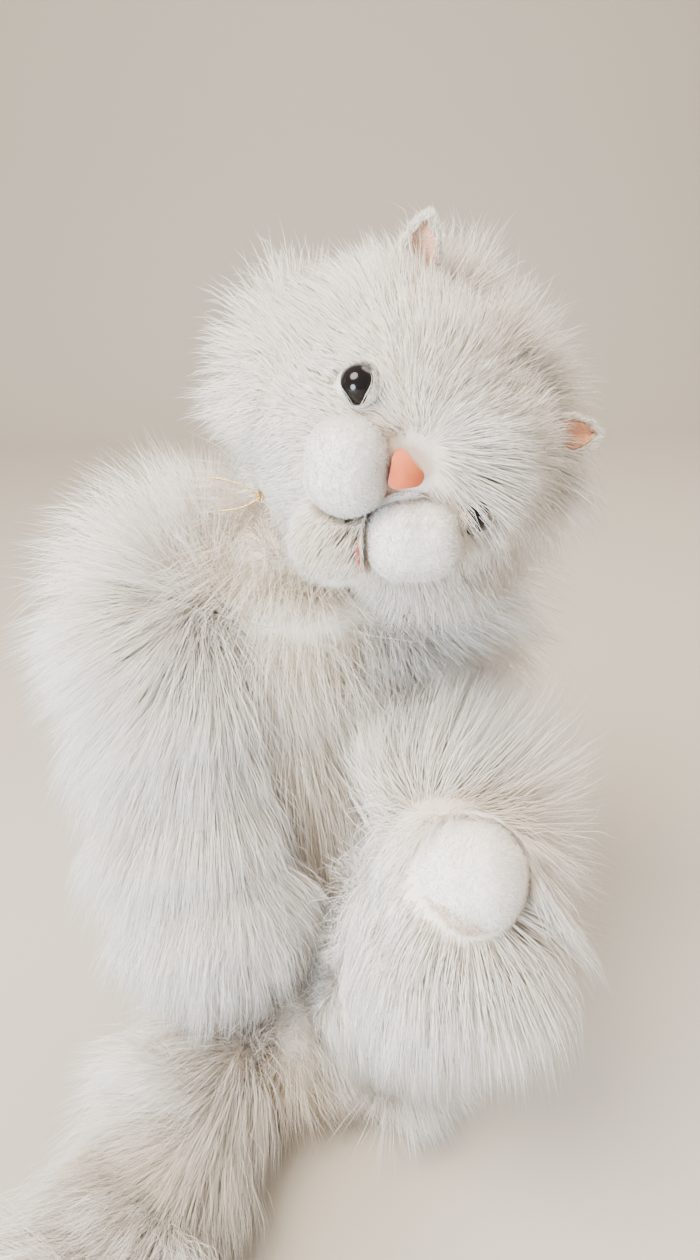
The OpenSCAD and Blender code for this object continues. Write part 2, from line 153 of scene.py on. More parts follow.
# the rest pose of each limb, in degrees: forward swing of an arm, lift and splay of a leg
R_SHOULDER, R_WRIST, R_PAW = arm_places("right", 24)
L_SHOULDER, L_WRIST, L_PAW = arm_places("left", 4)
R_HIP, R_HEEL, R_TOE, R_SOLE = leg_places("right", 0, 20)
L_HIP, L_HEEL, L_TOE, L_SOLE = leg_places("left", 69, 12)
TAIL_MID = TAIL_ROOT + X * TAIL_CURL


def tail_point(turned):
    """Middle of the tail where its curl has turned this far, 0 at the root and 1 at the tip."""
    a = math.pi - turned * math.pi / 2
    return TAIL_MID + TAIL_CURL * np.array([math.cos(a), math.sin(a), 0])


TAIL_PATH = [tail_point(t) for t in np.linspace(0, 1, 7)]


def arm_form(shoulder, wrist, paw):
    return [(shoulder, SHOULDER_R, wrist, WRIST_R), (wrist, WRIST_R, paw, PAW_R)]


def leg_form(hip, heel, toe):
    return [(hip, HIP_R, heel, HEEL_R), (heel, HEEL_R, toe, TOE_R)]


# stuffed forms as tapered rods: point, radius, point, radius
FORMS = {
    "torso": [(BELLY, BELLY_R, CHEST, CHEST_R)],
    "head": [(head_point(-CHEEK, 0, 0), HEAD_R, head_point(CHEEK, 0, 0), HEAD_R)],
    "right_arm": arm_form(R_SHOULDER, R_WRIST, R_PAW),
    "left_arm": arm_form(L_SHOULDER, L_WRIST, L_PAW),
    "right_leg": leg_form(R_HIP, R_HEEL, R_TOE),
    "left_leg": leg_form(L_HIP, L_HEEL, L_TOE),
    "tail": [(a, TAIL_R, b, TAIL_R) for a, b in zip(TAIL_PATH, TAIL_PATH[1:])],
}
MUZZLE_SAG = (X * 1.2 - Z * 3.5) * MM       # the stuffed muzzle hangs a little off its sewn place
LEFT_SOLE_SHIFT = (X * 2.5 + Z * 1.5) * MM  # and the raised foot's pad sits a little outwards
PADS = [(head_point(side * 13.6, -45, -19) + MUZZLE_SAG, PAD_R) for side in (-1, 1)]
CHIN = (head_point(0, -37, -33) + MUZZLE_SAG, CHIN_R)
EYES = [head_point(side * 26.6, -41.4, 0) for side in (-1, 1)]
NOSE = box_centre("nose")
SOLE_OUT = 12                               # mm from a heel's middle to its sole pad's
SOLES = [(R_HEEL + R_SOLE * SOLE_OUT * MM, SOLE_R),
         (L_HEEL + L_SOLE * SOLE_OUT * MM + LEFT_SOLE_SHIFT, SOLE_R)]
KNOT = np.array([-1, -50, 283]) * MM
TIE_ENDS = [np.array([-17.5, -49, 290]) * MM, np.array([-15, -50, 278.5]) * MM]
LOBE = np.array([0, 1, 1]) * np.array(JOINTS["left_leg_lift"]["pos_m"])

# forms that no hair may enter, as tapered rods again
GUARDS = [rod for rods in FORMS.values() for rod in rods]
GUARDS += [(p, r + 1 * MM, p, r + 1 * MM) for p, r in PADS + [CHIN] + SOLES]
GUARDS += [(NOSE, NOSE_R, NOSE, NOSE_R)] + [(p, EYE_R, p, EYE_R) for p in EYES]
GUARDS += [(KNOT, TIE_CLEAR, end, TIE_CLEAR) for end in TIE_ENDS]


# ---------------- materials
def material(name):
    mat = bpy.data.materials.new(name)
    mat.use_nodes = True
    nodes = mat.node_tree.nodes
    nodes.clear()
    out = nodes.new("ShaderNodeOutputMaterial")
    shader = nodes.new("ShaderNodeBsdfPrincipled")
    mat.node_tree.links.new(shader.outputs["BSDF"], out.inputs["Surface"])
    return mat, nodes, mat.node_tree.links, shader


def ramp(nodes, stops):
    node = nodes.new("ShaderNodeValToRGB")
    elements = node.color_ramp.elements
    while len(elements) < len(stops):
        elements.new(0.5)
    for element, (place, colour) in zip(elements, stops):
        element.position = place
        element.color = (*colour, 1)
    return node


def noise(nodes, links, scale, detail, rough=0.5):
    where = nodes.new("ShaderNodeTexCoord")
    node = nodes.new("ShaderNodeTexNoise")
    node.inputs["Scale"].default_value = scale
    node.inputs["Detail"].default_value = detail
    node.inputs["Roughness"].default_value = rough
    links.new(where.outputs["Object"], node.inputs["Vector"])
    return node


def add_bump(nodes, links, shader, height, strength, distance):
    bump = nodes.new("ShaderNodeBump")
    bump.inputs["Strength"].default_value = strength
    bump.inputs["Distance"].default_value = distance
    links.new(height, bump.inputs["Height"])
    links.new(bump.outputs["Normal"], shader.inputs["Normal"])


def hair_material(name, root, middle, tip):
    """Colour runs from root to tip along each hair, and shifts a little from hair to hair."""
    mat, nodes, links, shader = material(name)
    uv = nodes.new("ShaderNodeUVMap")
    uv.uv_map = "OFBake"
    split = nodes.new("ShaderNodeSeparateXYZ")
    links.new(uv.outputs["UV"], split.inputs["Vector"])
    along = ramp(nodes, [(0.0, root), (0.35, middle), (1.0, tip)])
    links.new(split.outputs["Y"], along.inputs["Fac"])
    shift = ramp(nodes, [(0.0, (0.90, 0.88, 0.86)), (0.6, (1.0, 1.0, 1.0)), (1.0, (1.0, 0.985, 0.96))])
    links.new(split.outputs["X"], shift.inputs["Fac"])
    mix = nodes.new("ShaderNodeMix")
    mix.data_type = "RGBA"
    mix.blend_type = "MULTIPLY"
    mix.inputs[0].default_value = 1.0
    links.new(along.outputs["Color"], mix.inputs[6])
    links.new(shift.outputs["Color"], mix.inputs[7])
    links.new(mix.outputs[2], shader.inputs["Base Color"])
    shader.inputs["Roughness"].default_value = 0.5
    shader.inputs["Specular IOR Level"].default_value = 0.25
    shader.inputs["Sheen Weight"].default_value = 0.15
    return mat


def cloth_material(name, dark, light, grain, bump, distance, sheen=0.3):
    mat, nodes, links, shader = material(name)
    spots = noise(nodes, links, grain, 4, 0.6)
    broad = noise(nodes, links, grain * 0.06, 2)
    mix = nodes.new("ShaderNodeMath")
    mix.operation = "MULTIPLY_ADD"
    mix.inputs[1].default_value = 0.55
    links.new(spots.outputs["Fac"], mix.inputs[0])
    scaled = nodes.new("ShaderNodeMath")
    scaled.operation = "MULTIPLY"
    scaled.inputs[1].default_value = 0.45
    links.new(broad.outputs["Fac"], scaled.inputs[0])
    links.new(scaled.outputs[0], mix.inputs[2])
    colours = ramp(nodes, [(0.3, dark), (0.65, light)])
    links.new(mix.outputs[0], colours.inputs["Fac"])
    links.new(colours.outputs["Color"], shader.inputs["Base Color"])
    shader.inputs["Roughness"].default_value = 0.9
    shader.inputs["Specular IOR Level"].default_value = 0.2
    shader.inputs["Sheen Weight"].default_value = sheen
    shader.inputs["Sheen Roughness"].default_value = 0.5
    add_bump(nodes, links, shader, spots.outputs["Fac"], bump, distance)
    return mat


def gloss_material(name, dark, light, rough, scale=60, coat=0.0, metal=0.0, shine=0.5):
    mat, nodes, links, shader = material(name)
    spots = noise(nodes, links, scale, 3)
    colours = ramp(nodes, [(0.35, dark), (0.7, light)])
    links.new(spots.outputs["Fac"], colours.inputs["Fac"])
    links.new(colours.outputs["Color"], shader.inputs["Base Color"])
    wear = nodes.new("ShaderNodeMapRange")
    wear.inputs["To Min"].default_value = rough * 0.8
    wear.inputs["To Max"].default_value = rough * 1.3
    links.new(spots.outputs["Fac"], wear.inputs["Value"])
    links.new(wear.outputs["Result"], shader.inputs["Roughness"])
    shader.inputs["Metallic"].default_value = metal
    shader.inputs["Specular IOR Level"].default_value = shine
    shader.inputs["Coat Weight"].default_value = coat
    shader.inputs["Coat Roughness"].default_value = 0.04
    return mat


FUR = hair_material("long_fur", (0.95, 0.87, 0.76), (0.975, 0.92, 0.85), (0.99, 0.965, 0.925))
# the same white fur with warm light and shade painted into its colour, creamier and darker, for the chest and
# the chin
PAINTED_WARM_LIGHT_FUR = hair_material("long_fur_painted_warm_light", (0.90, 0.76, 0.57), (0.95, 0.85, 0.71), (0.98, 0.93, 0.85))
# painted shade: a peach pile that stands for the warm shadowed gap between a sole pad and the fur round it
PEACH_PAINTED_SHADE = hair_material("sole_painted_shade_pile", (0.90, 0.60, 0.38), (0.93, 0.68, 0.46), (0.95, 0.78, 0.60))
FUZZ = hair_material("short_plush_pile", (0.97, 0.92, 0.87), (0.985, 0.95, 0.915), (0.99, 0.965, 0.94))
EAR_FUZZ = hair_material("ear_velour_pile", (0.78, 0.34, 0.18), (0.88, 0.46, 0.28), (0.93, 0.58, 0.40))
SKIN = cloth_material("fur_backing", (0.90, 0.82, 0.70), (0.95, 0.90, 0.82), 900, 0.4, 0.0005)
PLUSH = cloth_material("short_plush", (0.965, 0.91, 0.86), (0.985, 0.95, 0.92), 1500, 0.2, 0.0002, 0.5)
LINING = cloth_material("ear_velour", (0.78, 0.36, 0.19), (0.92, 0.52, 0.32), 1600, 0.5, 0.0004, 0.4)
FILLING = cloth_material("loose_filling", (0.80, 0.80, 0.78), (0.96, 0.96, 0.95), 250, 0.9, 0.002, 0.2)
BAG = cloth_material("bag_cotton", (0.55, 0.53, 0.48), (0.78, 0.76, 0.70), 1200, 0.6, 0.0005)
THREAD = cloth_material("seam_thread", (0.76, 0.70, 0.60), (0.92, 0.88, 0.80), 2500, 0.5, 0.0003)
MOUTH = cloth_material("mouth_thread", (0.34, 0.03, 0.03), (0.55, 0.09, 0.06), 2500, 0.6, 0.0003, 0.0)
BOARD = cloth_material("hard_board", (0.24, 0.14, 0.07), (0.48, 0.32, 0.18), 700, 0.4, 0.0004, 0.0)
BLACK = gloss_material("eye_plastic", (0.002, 0.002, 0.003), (0.010, 0.008, 0.007), 0.12, shine=0.35)
PINK = gloss_material("nose_plastic", (0.66, 0.13, 0.045), (0.82, 0.22, 0.095), 0.22, 90, coat=0.35)
WHITE_PLASTIC = gloss_material("lock_washer_plastic", (0.72, 0.72, 0.70), (0.84, 0.84, 0.82), 0.45)
STEEL = gloss_material("zinc_steel", (0.42, 0.42, 0.43), (0.66, 0.66, 0.67), 0.3, 200, metal=1.0)
GOLD = gloss_material("gold_thread", (0.62, 0.40, 0.12), (0.95, 0.72, 0.34), 0.22, 900, metal=1.0)


# ---------------- mesh helpers
def add_object(name, verts, faces, mat):
    mesh = bpy.data.meshes.new(name)
    mesh.from_pydata([tuple(v) for v in verts], [], faces)
    mesh.update()
    obj = bpy.data.objects.new(name, mesh)
    bpy.context.scene.collection.objects.link(obj)
    mesh.materials.append(mat)
    mesh.polygons.foreach_set("use_smooth", [True] * len(mesh.polygons))
    return obj


def across_axes(direction):
    """Two unit vectors across a direction."""
    d = unit(direction)
    u = unit(np.cross(d, X if abs(d[0]) < 0.8 else Z))
    return u, np.cross(d, u)


def lathe(profile, start, direction):
    """Verts and faces of a closed form turned about a line: profile lists (distance along, radius)."""
    sides = 40
    d = unit(direction)
    u, w = across_axes(d)
    verts, faces = [], []
    for along, radius in profile[1:-1]:
        for k in range(sides):
            a = 2 * math.pi * k / sides
            verts.append(start + d * along + radius * (math.cos(a) * u + math.sin(a) * w))
    rows = len(profile) - 2
    for i in range(rows - 1):
        for k in range(sides):
            n = (k + 1) % sides
            faces.append((i * sides + k, i * sides + n, (i + 1) * sides + n, (i + 1) * sides + k))
    verts += [start + d * profile[0][0], start + d * profile[-1][0]]
    low, high, last = len(verts) - 2, len(verts) - 1, (rows - 1) * sides
    for k in range(sides):
        n = (k + 1) % sides
        faces.append((low, n, k))
        faces.append((high, last + k, last + n))
    return verts, faces


def rod_mesh(a, ra, b, rb):
    """Two balls joined by the cone that touches both."""
    length = float(np.linalg.norm(b - a))
    direction = (b - a) / length if length > 1e-6 else X
    tilt = math.asin(max(-1, min(1, (ra - rb) / max(length, 1e-6))))
    waist, pole, rings = math.pi / 2 + tilt, 0.12, 13
    profile = [(-ra, 0)]
    profile += [(-ra * math.cos(t), ra * math.sin(t)) for t in np.linspace(pole, waist, rings)]
    profile += [(length - rb * math.cos(t), rb * math.sin(t))
                for t in np.linspace(waist, math.pi - pole, rings)]
    profile += [(length + rb, 0)]
    return lathe(profile, a, direction)


def joined(name, parts, mat):
    verts, faces = [], []
    for v, f in parts:
        base = len(verts)
        verts += list(v)
        faces += [tuple(i + base for i in face) for face in f]
    return add_object(name, verts, faces, mat)


def apply_modifiers(obj):
    bpy.context.view_layer.update()
    graph = bpy.context.evaluated_depsgraph_get()
    mesh = bpy.data.meshes.new_from_object(obj.evaluated_get(graph))
    obj.modifiers.clear()
    old = obj.data
    obj.data = mesh
    bpy.data.meshes.remove(old)
    return obj


def remesh(obj, voxel, smooth_steps=4):
    mod = obj.modifiers.new("remesh", "REMESH")
    mod.mode = "VOXEL"
    mod.voxel_size = voxel
    mod.use_smooth_shade = True
    soft = obj.modifiers.new("soft", "SMOOTH")
    soft.factor = 0.5
    soft.iterations = smooth_steps
    return apply_modifiers(obj)


def coords(mesh):
    co = np.zeros(len(mesh.vertices) * 3)
    mesh.vertices.foreach_get("co", co)
    return co.reshape(-1, 3)


def set_coords(mesh, co):
    mesh.vertices.foreach_set("co", np.asarray(co, float).ravel())
    mesh.update()


def normals(mesh):
    n = np.zeros(len(mesh.vertices) * 3)
    mesh.vertex_normals.foreach_get("vector", n)
    return n.reshape(-1, 3)


def wave_field(points, seed, scale):
    """A smooth random vector at each point, about 1 long, that changes over about scale metres."""
    waves, usual_sum = 5, 2.2
    rng = np.random.default_rng(seed)
    total = np.zeros_like(points)
    for _ in range(waves):
        way = unit(rng.normal(size=3)) * 2 * math.pi / scale * rng.uniform(0.6, 1.4)
        phase = rng.uniform(0, 2 * math.pi, 3)
        total += np.sin((points @ way)[:, None] + phase)
    return total / usual_sum


def puff(obj, pressure, cap):
    """Stuffs a form: cloth with air pressure inside, each point's movement capped, applied to the mesh."""
    start = coords(obj.data)
    mod = obj.modifiers.new("stuffed", "CLOTH")
    mod.settings.quality = 4
    mod.settings.use_pressure = True
    mod.settings.uniform_pressure_force = pressure
    mod.settings.effector_weights.gravity = 0
    mod.settings.tension_stiffness = 12
    mod.settings.compression_stiffness = 12
    mod.settings.bending_stiffness = 0.4
    mod.collision_settings.use_collision = False
    mod.point_cache.frame_start = 1
    mod.point_cache.frame_end = PUFF_FRAMES
    for f in range(1, PUFF_FRAMES + 1):
        bpy.context.scene.frame_set(f)
    graph = bpy.context.evaluated_depsgraph_get()
    shaped = obj.evaluated_get(graph).to_mesh()
    moved = coords(shaped) - start
    obj.modifiers.clear()
    bpy.context.scene.frame_set(1)
    far = np.linalg.norm(moved, axis=1, keepdims=True)
    moved *= np.minimum(1, cap / np.maximum(far, 1e-9))
    set_coords(obj.data, start + moved)
    return obj


# ---------------- fur
def surface_points(obj, count, rng):
    """Random places on a mesh, evenly spread, with their smooth normals."""
    mesh = obj.data
    mesh.calc_loop_triangles()
    tris = np.zeros(len(mesh.loop_triangles) * 3, np.int32)
    mesh.loop_triangles.foreach_get("vertices", tris)
    tris = tris.reshape(-1, 3)
    co, no = coords(mesh), normals(mesh)
    a, b, c = co[tris[:, 0]], co[tris[:, 1]], co[tris[:, 2]]
    area = np.linalg.norm(np.cross(b - a, c - a), axis=1)
    pick = rng.choice(len(tris), count, p=area / area.sum())
    r1, r2 = np.sqrt(rng.random(count)), rng.random(count)
    w = np.stack([1 - r1, r1 * (1 - r2), r1 * r2], 1)
    points = (co[tris[pick]] * w[:, :, None]).sum(1)
    return points, unit((no[tris[pick]] * w[:, :, None]).sum(1))


def push_out(points, clear):
    """Moves points out of the stuffed forms, the pads and the seat."""
    for a, ra, b, rb in GUARDS:
        span = b - a
        t = np.clip(((points - a) @ span) / max(float(span @ span), 1e-9), 0, 1)
        away = points - a - t[:, None] * span
        far = np.linalg.norm(away, axis=1)
        need = ra + (rb - ra) * t + clear - far
        inside = need > 0
        points[inside] += away[inside] / np.maximum(far[inside], 1e-6)[:, None] * need[inside, None]
    points[:, 2] = np.maximum(points[:, 2], FLOOR_GAP)
    return points


def grow(points, flow, nrm, length, lift, fall, rng, seed):
    """Hair paths: each starts between flow and normal, then bends towards flow and down."""
    count = len(points)
    sway, scatter, curliness = 0.30, 0.14, 0.16   # by neighbourhood, by hair, and along each hair
    side = wave_field(points, seed, 35 * MM) * sway + rng.normal(size=(count, 3)) * scatter
    first = unit(nrm * lift[:, None] + flow * (1 - lift)[:, None] + side)
    paths = np.zeros((count, HAIR_STEPS + 1, 3))
    paths[:, 0] = points - nrm * 1.0 * MM
    here = points.copy()
    step = (length / HAIR_STEPS)[:, None]
    curl = rng.normal(size=(count, 3)) * curliness
    for k in range(1, HAIR_STEPS + 1):
        along = (k - 0.5) / HAIR_STEPS
        way = first * (1 - 0.4 * along) + flow * 0.6 * along + curl * along
        way = unit(way - Z * (fall * along)[:, None])
        here = push_out(here + way * step, 0.4 * MM + 0.6 * MM * along)
        paths[:, k] = here
    return paths


def gather(paths, rng, pull):
    """Draws hairs towards the nearest of a few guide hairs, more at the tips, so they lie in locks."""
    count = len(paths)
    guides = rng.choice(count, max(8, int(count * LOCK_SHARE)), replace=False)
    tree = KDTree(len(guides))
    for i, g in enumerate(guides):
        tree.insert(paths[g, 0], i)
    tree.balance()
    near = np.array([guides[tree.find(p)[1]] for p in paths[:, 0]])
    gap = paths[near] - paths
    amount = pull * rng.uniform(0.5, 1.0, count)
    for k in range(1, HAIR_STEPS + 1):
        paths[:, k] += gap[:, k] * (amount * (k / HAIR_STEPS) ** 1.3)[:, None]
    return paths


def keep_in_box(paths):
    """Shortens hairs that would stand too far out of the CAD box."""
    lo = np.array(cad_lo) - FUR_MARGIN
    hi = np.array(cad_hi) + FUR_MARGIN
    root = paths[:, :1]
    reach = paths - root
    over = np.ones(len(paths))
    for axis in range(3):
        start = root[:, 0, axis]
        high = reach[:, :, axis].max(1)
        low = -reach[:, :, axis].min(1)
        over = np.minimum(over, np.where(high > 0, (hi[axis] - start) / np.maximum(high, 1e-6), 1))
        if axis < 2:
            over = np.minimum(over, np.where(low > 0, (start - lo[axis]) / np.maximum(low, 1e-6), 1))
    out = root + reach * np.clip(over, 0.15, 1)[:, None, None]
    out[:, :, 2] = np.maximum(out[:, :, 2], FLOOR_GAP)
    return out


def hair_mesh(name, paths, root_r, tip_r, mat, rng):
    """Every hair as a closed, tapered, three-sided tube in one mesh, with root-to-tip UVs."""
    count, levels = paths.shape[:2]
    way = unit(np.gradient(paths, axis=1))
    helper = unit(rng.normal(size=(count, 1, 3)))
    u = unit(np.cross(way, helper))
    w = np.cross(way, u)
    t = np.linspace(0, 1, levels)
    radius = (root_r + (tip_r - root_r) * t ** 1.5)[None, :, None]
    rings = []
    for k in range(3):
        a = 2 * math.pi * k / 3
        rings.append(paths + radius * (math.cos(a) * u + math.sin(a) * w))
    body = np.stack(rings, 2)[:, :-1]                    # count, levels - 1, 3 sides, xyz
    per = (levels - 1) * 3 + 1
    verts = np.concatenate([body.reshape(count, -1, 3), paths[:, -1:]], 1)
    quads, tris = [], [(2, 1, 0)]
    for i in range(levels - 2):
        for k in range(3):
            n = (k + 1) % 3
            quads.append((i * 3 + k, i * 3 + n, i * 3 + 3 + n, i * 3 + 3 + k))
    last = (levels - 2) * 3
    tris += [(last + k, last + (k + 1) % 3, per - 1) for k in range(3)]
    base = (np.arange(count) * per)[:, None]
    quad_loops = (np.array(quads).reshape(1, -1) + base).reshape(count, -1)
    tri_loops = (np.array(tris).reshape(1, -1) + base).reshape(count, -1)
    loops = np.concatenate([quad_loops, tri_loops], 1).ravel()
    sizes = np.tile([4] * len(quads) + [3] * len(tris), count)
    starts = np.concatenate([[0], np.cumsum(sizes)[:-1]])
    mesh = bpy.data.meshes.new(name)
    mesh.vertices.add(count * per)
    mesh.vertices.foreach_set("co", verts.ravel())
    mesh.loops.add(len(loops))
    mesh.loops.foreach_set("vertex_index", loops.astype(np.int32))
    mesh.polygons.add(len(sizes))
    mesh.polygons.foreach_set("loop_start", starts.astype(np.int32))
    mesh.polygons.foreach_set("loop_total", sizes.astype(np.int32))
    mesh.polygons.foreach_set("use_smooth", np.ones(len(sizes), bool))
    mesh.update()
    uv = mesh.uv_layers.new(name="OFBake")
    inner, side_gap = 0.96, 0.003                        # the used part of the UV square; a hair's width in it
    level_of = np.concatenate([np.repeat(np.arange(levels - 1), 3), [levels - 1]]) / (levels - 1)
    side_of = np.concatenate([np.tile([0, 1, 2], levels - 1), [1]]) * side_gap
    shade = np.repeat(rng.random(count), per) * inner + 0.01
    flat_u = shade + np.tile(side_of, count)
    flat_v = np.tile(level_of, count) * inner + 0.02
    uv.data.foreach_set("uv", np.stack([flat_u[loops], flat_v[loops]], 1).ravel())
    obj = bpy.data.objects.new(name, mesh)
    bpy.context.scene.collection.objects.link(obj)
    mesh.materials.append(mat)
    return obj


def fur(body, skin, count, style, locks, seed, name=None, mat=None):
    """Grows the long fur of one stuffed form, in pieces of at most MOST_HAIRS hairs."""
    rng = np.random.default_rng(seed)
    points, nrm = surface_points(skin, int(count * FUR_SHARE), rng)
    flow, length, lift, fall, keep = style(points, nrm)
    points, nrm, flow, length, lift, fall = (v[keep] for v in (points, nrm, flow, length, lift, fall))
    short = rng.random(len(points)) < SHORT_SHARE
    size = np.where(short, rng.uniform(0.35, 0.6, len(points)), rng.uniform(0.78, 1.12, len(points)))
    paths = grow(points, flow, nrm, length * size, lift, fall, rng, seed)
    paths = keep_in_box(gather(paths, rng, locks))
    paths[:, 1:] = push_out(paths[:, 1:].reshape(-1, 3).copy(), 0.3 * MM).reshape(len(paths), HAIR_STEPS, 3)
    order = rng.permutation(len(paths))
    parts = max(1, math.ceil(len(paths) / MOST_HAIRS))
    for i in range(parts):
        hairs = paths[order[i::parts]]
        piece = hair_mesh(f"{name or body}_fur_{i + 1}", hairs, HAIR_R, HAIR_TIP, mat or FUR, rng)
        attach(piece, body)


def along_surface(way, nrm):
    way = np.broadcast_to(way, nrm.shape)
    return unit(way - nrm * (way * nrm).sum(1, keepdims=True))


def full(points, value):
    return np.full(len(points), float(value))


def soft_step(value, low, high):
    """0 up to low, rising smoothly to 1 at high."""
    t = np.clip((value - low) / (high - low), 0, 1)
    return t * t * (3 - 2 * t)


def near(points, centre, radius):
    """1 at the centre, falling smoothly to 0 at the radius."""
    return soft_step(1 - np.linalg.norm(points - centre, axis=1) / radius, 0, 1)


def outside_balls(points, balls):
    keep = np.ones(len(points), bool)
    for centre, radius in balls:
        keep &= np.linalg.norm(points - centre, axis=1) > radius
    return keep


def mixed(a, b, amount):
    return a * (1 - amount)[:, None] + b * amount[:, None]


# A style gives, for each root of a hair: the way it lies, its length, how far it stands up (0 to 1), how much
# it hangs, and whether it grows at all.
def torso_style(points, nrm):
    top = soft_step(points[:, 2], 205 * MM, 245 * MM)
    out = points - CHEST
    out[:, 2] = 0
    down = along_surface(-Z, nrm)
    flow = unit(mixed(down, along_surface(unit(out) + 0.3 * Z, nrm), top))
    length = 32 * MM + 12 * MM * top + 6 * MM * soft_step(points[:, 2], 60 * MM, 160 * MM)
    keep = points[:, 2] > 4 * MM
    return flow, length, 0.42 + 0.3 * top, 0.7 - 0.5 * top, keep


def head_style(points, nrm):
    """Hair runs away from the bridge of the nose, short on the face and long behind it, and down the nape."""
    local = (points - HEAD) @ HEAD_TURN / HEAD_R
    bridge = head_point(0, -47, 0)
    nape = soft_step(local[:, 1], 0.3, 0.9)
    flow = unit(mixed(along_surface(points - bridge, nrm), along_surface(-HEAD_Z, nrm), nape))
    behind = soft_step(local[:, 1], -0.95, 0.25)
    jaw = soft_step(-local[:, 2], 0.15, 0.8) * (1 - soft_step(np.abs(local[:, 0]), 0.45, 0.95))
    length = 10 * MM + 33 * MM * behind
    length += 18 * MM * near(points, head_point(14, -44, 5), 26 * MM)
    length *= 1 - 0.6 * jaw
    length *= 1 - 0.42 * near(points, EYES[0], 15 * MM)
    for side in (-1, 1):
        length *= 1 - 0.15 * near(points, ear_point(side, 0, -8, 0), 14 * MM)
    outer = soft_step(nrm @ X, 0.1, 0.85) * behind
    length += 9 * MM * outer
    lift = (0.26 + 0.24 * behind) * (1 - 0.5 * jaw)
    lift = lift + 0.15 * near(points, EYES[0], 11 * MM) + 0.2 * outer
    fall = 0.25 + 0.5 * soft_step(local[:, 0], 0.2, 0.9)
    bare = [(p, r * 0.95) for p, r in PADS] + [(NOSE, 8 * MM), (EYES[0], 5.6 * MM)]
    return flow, length, lift, fall, outside_balls(points, bare)


def chin_style(points, nrm):
    flow = along_surface(-HEAD_Z - 0.2 * HEAD_Y, nrm)
    keep = outside_balls(points, [(p, r * 0.93) for p, r in PADS])
    return flow, full(points, 11 * MM), full(points, 0.3), full(points, 0.2), keep


def ear_point(side, across, front, up):
    """A point of an ear's frame, in mm: across to the cat's left, front towards its back, up to its tip."""
    lean, out = math.radians(37), 46
    c, s = math.cos(lean), math.sin(lean) * side
    return head_point(CHEEK * side + out * s + across * c + up * s, front - 2, out * c - across * s + up * c)


def arm_style(shoulder, paw, outward):
    """A hanging arm: its hair stands out at the shoulder and runs down towards the paw."""
    way = unit(paw - shoulder)

    def style(points, nrm):
        t = np.clip(((points - shoulder) @ way) / np.linalg.norm(paw - shoulder), -0.2, 1.2)
        low = soft_step(t, 0.0, 0.5)
        outwards = along_surface(outward - 0.35 * Z, nrm)
        flow = unit(mixed(outwards, along_surface(way + outward * 0.5, nrm), low))
        upper = soft_step(nrm @ Z, 0.0, 0.8) * (1 - low)
        length = 51 * MM + 6 * MM * upper
        fall = 0.6 - 0.4 * upper + 0.4 * low
        return flow, length, 0.6 + 0.22 * upper, fall, np.ones(len(points), bool)
    return style


def raised_leg_style(hip, heel, toe, sole, pad_ball):
    """A raised foot: its hair hangs straight down, and sweeps up and sideways over the toes."""
    tall = unit(toe - heel)
    way = unit(heel - hip)
    upward = unit(Z - sole * sole[2])
    pad_middle, pad_r = pad_ball

    def style(points, nrm):
        rel = points - heel
        high = soft_step(rel @ tall, 4 * MM, 34 * MM)
        rim = near(points, heel + sole * 18 * MM, 34 * MM)
        thigh = 1 - soft_step((points - hip) @ way, 70 * MM, 115 * MM)
        radial = along_surface(rel - sole * (rel @ sole)[:, None], nrm)
        right = soft_step(rel @ X, 0, 20 * MM)
        hang = unit(radial * 0.25 - Z + 0.3 * X * (right + thigh)[:, None])
        sweep = unit(radial * 0.9 + X * 0.7 + Z * 0.8)
        flow = unit(mixed(hang, sweep, high))
        beneath = soft_step(-(nrm @ Z), -0.2, 0.6)
        left = soft_step(-(rel @ X), 0, 20 * MM) * (1 - beneath)
        from_pad = points - pad_middle
        over = soft_step(from_pad @ upward + from_pad @ X * 0.7, -4 * MM, 12 * MM)
        over = np.clip(over * near(points, pad_middle, 34 * MM) * 2.2, 0, 1)
        flow = unit(mixed(flow, along_surface(sole - 0.9 * upward - 0.2 * X, nrm), over))
        length = (42 * MM + 14 * MM * beneath) * (1 - 0.3 * left) * (1 + 0.4 * high) * (1 + 0.2 * right)
        length *= (1 - 0.42 * rim) * (1 - 0.35 * thigh) * (1 - 0.45 * over)
        lift = 0.42 + 0.1 * rim + 0.14 * right + 0.12 * high - 0.15 * thigh - 0.25 * over
        fall = 2.2 * (1 - 0.95 * high) * (1 - 0.6 * rim) * (1 - 0.55 * right)
        keep = outside_balls(points, [(pad_middle, pad_r - 1 * MM)])
        return flow, length, lift, fall, keep
    return style


def lying_leg_style(hip, heel, sole):
    """A leg that lies on the seat: its hair flows along it and outwards."""
    way = unit(heel - hip)

    def style(points, nrm):
        rim = near(points, heel + sole * 16 * MM, 36 * MM)
        radial = along_surface(points - (heel + sole * 26 * MM), nrm)
        flow = unit(mixed(along_surface(way * 0.8 - X * 0.7 - Z * 0.2, nrm), radial, rim))
        length = 46 * MM * (1 - 0.4 * rim)
        keep = outside_balls(points, [(heel + sole * SOLE_OUT * MM, 19.6 * MM)])
        keep &= points[:, 2] > 1 * MM
        return flow, length, 0.36 + 0.2 * rim, full(points, 0.5), keep
    return style


def tail_style(points, nrm):
    """Hair runs along the tail's curl, to its tip."""
    around = np.stack([-(points[:, 1] - TAIL_MID[1]), points[:, 0] - TAIL_MID[0], points[:, 2] * 0], 1)
    flow = along_surface(-around, nrm)
    keep = points[:, 2] > 2 * MM
    return flow, full(points, 32 * MM), full(points, 0.5), full(points, 0.4), keep


